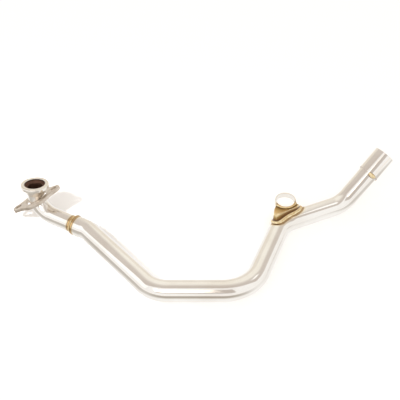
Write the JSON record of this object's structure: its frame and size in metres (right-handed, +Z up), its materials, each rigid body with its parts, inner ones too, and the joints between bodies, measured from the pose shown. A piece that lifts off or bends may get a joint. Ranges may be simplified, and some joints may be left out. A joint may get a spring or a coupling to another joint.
{
  "type": "motorcycle decat pipe",
  "caption": "Bent stainless exhaust link pipe with a collared mouth, a loose two-bolt flange plate, a mounting bush on a saddle gusset and a slip-on tail sleeve.",
  "frame": {"origin": "centre of the part's footprint, on the floor that the pipe lies on", "axes": "+Z up as it lies; +X from the mouth end towards the tail end; +Y towards the mouth's and the tail's side of the bent run"},
  "size_m": [0.6208, 0.2684, 0.1006],
  "materials": {
    "brushed_stainless": "polished along the tube",
    "turned_stainless": "turned",
    "plate_stainless": "brushed, dull",
    "heat_tinted_stainless": "heat tinted, straw to brown",
    "weld_bead": "rippled bead, heat tinted"
  },
  "bodies": {
    "root": {"mouth_collar": "turned_stainless", "collar_weld": "weld_bead", "flange_plate": "plate_stainless", "header_tube": "brushed_stainless", "step_weld": "weld_bead", "main_pipe": "brushed_stainless", "saddle_gusset": "heat_tinted_stainless", "saddle_weld": "weld_bead", "bush_ring": "turned_stainless", "bush_weld": "weld_bead", "tail_sleeve": "turned_stainless", "sleeve_tack_1": "weld_bead", "sleeve_tack_2": "weld_bead", "sleeve_tack_3": "weld_bead"}
  },
  "joints": []
}
